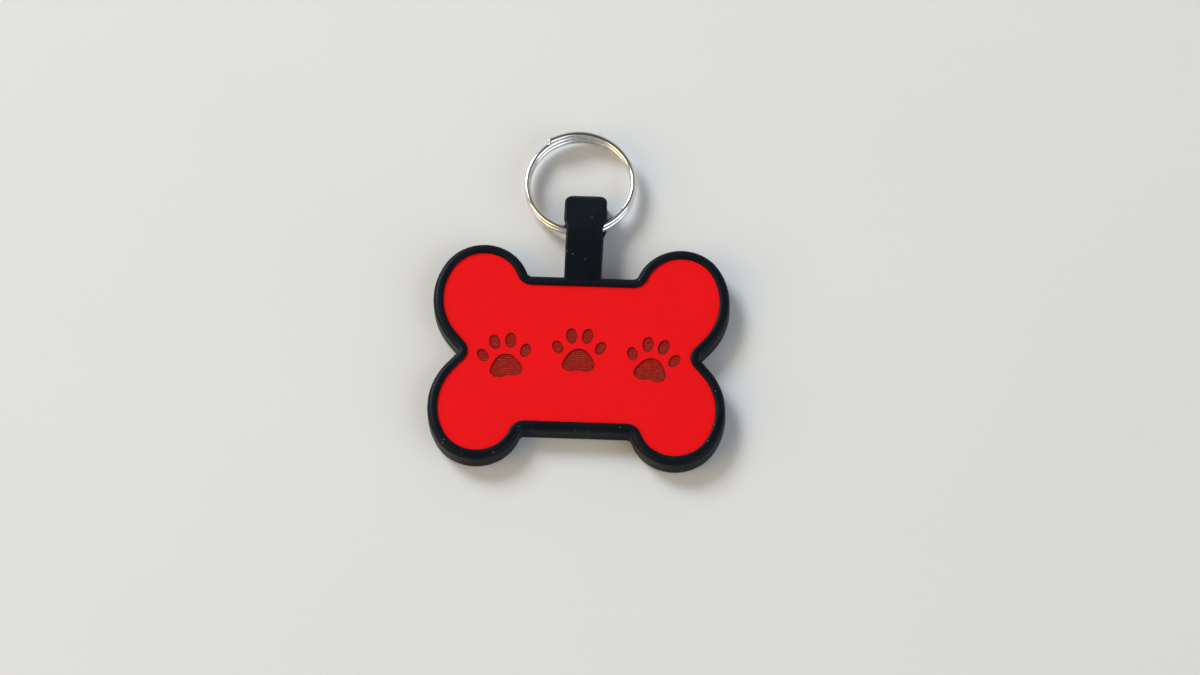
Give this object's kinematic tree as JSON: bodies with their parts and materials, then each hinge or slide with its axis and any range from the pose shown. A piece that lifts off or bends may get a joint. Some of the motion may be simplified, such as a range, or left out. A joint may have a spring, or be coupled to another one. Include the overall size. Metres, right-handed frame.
{
  "type": "pet id tag",
  "caption": "Bone-shaped silicone collar tag with a raised bead rim, a bonded colour face and a split ring that swings in a moulded strap loop.",
  "frame": {"origin": "centre of the bone's flat back, where the tag lies on a surface", "axes": "+X along the bone to the right seen from the face, +Y towards the strap loop and its ring, +Z out of the face"},
  "size_m": [0.0522, 0.0643, 0.0054],
  "materials": {
    "black_silicone": "satin moulded",
    "red_face": "matte",
    "plated_wire": "bright nickel plate"
  },
  "bodies": {
    "tag": {"silicone_body": "black_silicone", "face_inlay": "red_face"},
    "ring": {"split_ring": "plated_wire"}
  },
  "joints": [
    {"name": "ring_swing", "type": "hinge", "parent": "tag", "child": "ring", "pos_m": [0, 0.02455, 0.0027], "axis": [0.9905, 0.1374, 0], "range_deg": [-150, 160]}
  ]
}
